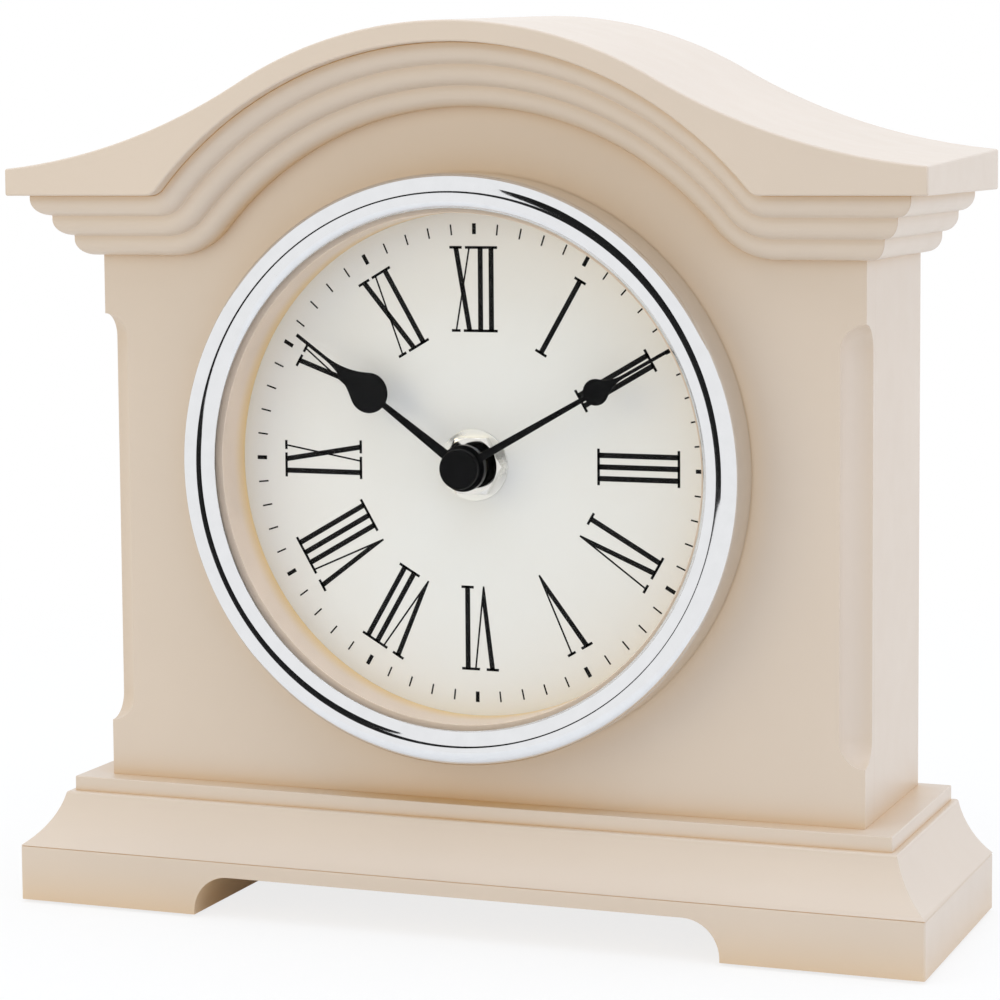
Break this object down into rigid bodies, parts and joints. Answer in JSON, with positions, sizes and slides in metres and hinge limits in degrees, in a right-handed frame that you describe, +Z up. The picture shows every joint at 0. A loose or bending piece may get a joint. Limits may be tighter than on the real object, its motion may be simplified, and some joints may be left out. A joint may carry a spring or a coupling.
{
  "type": "mantel clock",
  "caption": "Painted mantel clock with an arched serpentine cap, stepped cornice, fluted corners and coved plinth; chrome bezel, Roman dial, quartz movement and hinged back door.",
  "frame": {"origin": "bottom centre of the clock's bounding box, on the table under the felt pads", "axes": "+X to the clock's right as seen from the front, +Y to its back, +Z up; the dial faces -Y"},
  "size_m": [0.25, 0.08, 0.2392],
  "materials": {
    "painted_wood": "satin cream paint on wood",
    "painted_board": "matt cream paint on fibreboard",
    "bare_wood": "planed softwood",
    "felt": "felt",
    "chrome": "polished",
    "glass": "clear",
    "cream_plastic": "painted",
    "dial_card": "matt printed sheet",
    "steel": "bright",
    "nickel": "nickel plated",
    "brass": "lacquered",
    "black_hand": "gloss black",
    "white_gear": "moulded",
    "ferrite": "sintered",
    "copper": "enamelled wire",
    "circuit_board": "solder mask",
    "black_housing": "moulded",
    "button_plastic": "moulded",
    "battery_wrap": "printed film"
  },
  "bodies": {
    "case": {"base_block": "painted_wood", "felt_pads": "felt", "cove_board": "painted_wood", "plinth_board": "painted_wood", "front_panel": "painted_wood", "side_board_left": "painted_wood", "side_board_right": "painted_wood", "cap_board": "painted_wood", "cornice_front": "painted_wood", "cornice_left": "painted_wood", "cornice_right": "painted_wood", "bezel": "chrome", "glass": "glass", "dial_surround": "cream_plastic", "dial_plate": "dial_card", "dial_screws": "steel", "dial_washer": "steel", "hex_nut": "nickel", "threaded_bush": "brass", "wheel_posts": "steel", "front_housing": "black_housing", "back_cover": "black_housing", "train_bridge": "black_housing", "bridge_screws": "steel", "stator": "steel", "coil_bobbin": "white_gear", "coil_winding": "copper", "ferrite_rod": "ferrite", "aerial_winding": "copper", "circuit_board": "circuit_board", "quartz_crystal": "steel", "control_chip": "black_housing", "switch_domes": "steel", "battery_contacts": "nickel", "back_battens": "bare_wood", "back_panel": "painted_board", "back_screws": "steel", "hinge_leaves_case": "brass", "hinge_pins": "brass", "hinge_screws": "brass", "door_stop": "bare_wood", "door_magnet": "nickel"},
    "minute_hand": {"minute_arbor": "white_gear", "minute_hand": "black_hand", "hand_cap": "black_hand"},
    "hour_hand": {"hour_wheel": "white_gear", "hour_hand": "black_hand"},
    "motion_wheel": {"motion_wheel": "white_gear"},
    "intermediate_wheel": {"intermediate_wheel": "white_gear"},
    "rotor": {"rotor": "ferrite"},
    "button_set": {"button_set": "button_plastic"},
    "button_receive": {"button_receive": "button_plastic"},
    "button_reset": {"button_reset": "button_plastic"},
    "battery": {"battery": "battery_wrap"},
    "back_door": {"back_door": "painted_board", "hinge_leaves_door": "brass", "door_hinge_screws": "brass", "door_knob": "brass", "knob_screw": "steel", "strike_plate": "steel"}
  },
  "joints": [
    {"name": "minute_hand_turn", "type": "hinge", "parent": "case", "child": "minute_hand", "pos_m": [0, 0, 0.12125], "axis": [0, 1, 0], "continuous": true},
    {"name": "hour_hand_turn", "type": "hinge", "parent": "case", "child": "hour_hand", "pos_m": [0, 0, 0.12125], "axis": [0, 1, 0], "continuous": true},
    {"name": "motion_wheel_turn", "type": "hinge", "parent": "case", "child": "motion_wheel", "pos_m": [0.006, 0, 0.12125], "axis": [0, 1, 0], "continuous": true},
    {"name": "intermediate_wheel_turn", "type": "hinge", "parent": "case", "child": "intermediate_wheel", "pos_m": [-0.00875, 0, 0.12125], "axis": [0, 1, 0], "continuous": true},
    {"name": "rotor_turn", "type": "hinge", "parent": "case", "child": "rotor", "pos_m": [-0.01395, 0, 0.12425], "axis": [0, 1, 0], "continuous": true},
    {"name": "button_set_press", "type": "slide", "parent": "case", "child": "button_set", "axis": [0, -1, 0], "range_m": [0, 0.001], "stiffness_N_per_m": 800, "springref_m": -0.0005},
    {"name": "button_receive_press", "type": "slide", "parent": "case", "child": "button_receive", "axis": [0, -1, 0], "range_m": [0, 0.001], "stiffness_N_per_m": 800, "springref_m": -0.0005},
    {"name": "button_reset_press", "type": "slide", "parent": "case", "child": "button_reset", "axis": [0, -1, 0], "range_m": [0, 0.001], "stiffness_N_per_m": 800, "springref_m": -0.0005},
    {"name": "battery_lift", "type": "slide", "parent": "case", "child": "battery", "axis": [0, 1, 0], "range_m": [0, 0.018]},
    {"name": "back_door_swing", "type": "hinge", "parent": "case", "child": "back_door", "pos_m": [-0.05462, 0.0375, 0.11775], "axis": [0, 0, 1], "range_deg": [0, 110]}
  ],
  "couplings": [
    {"joint": "motion_wheel_turn", "follows": "minute_hand_turn", "ratio": -0.33333},
    {"joint": "hour_hand_turn", "follows": "minute_hand_turn", "ratio": 0.083333},
    {"joint": "intermediate_wheel_turn", "follows": "minute_hand_turn", "ratio": -6},
    {"joint": "rotor_turn", "follows": "minute_hand_turn", "ratio": 30}
  ]
}
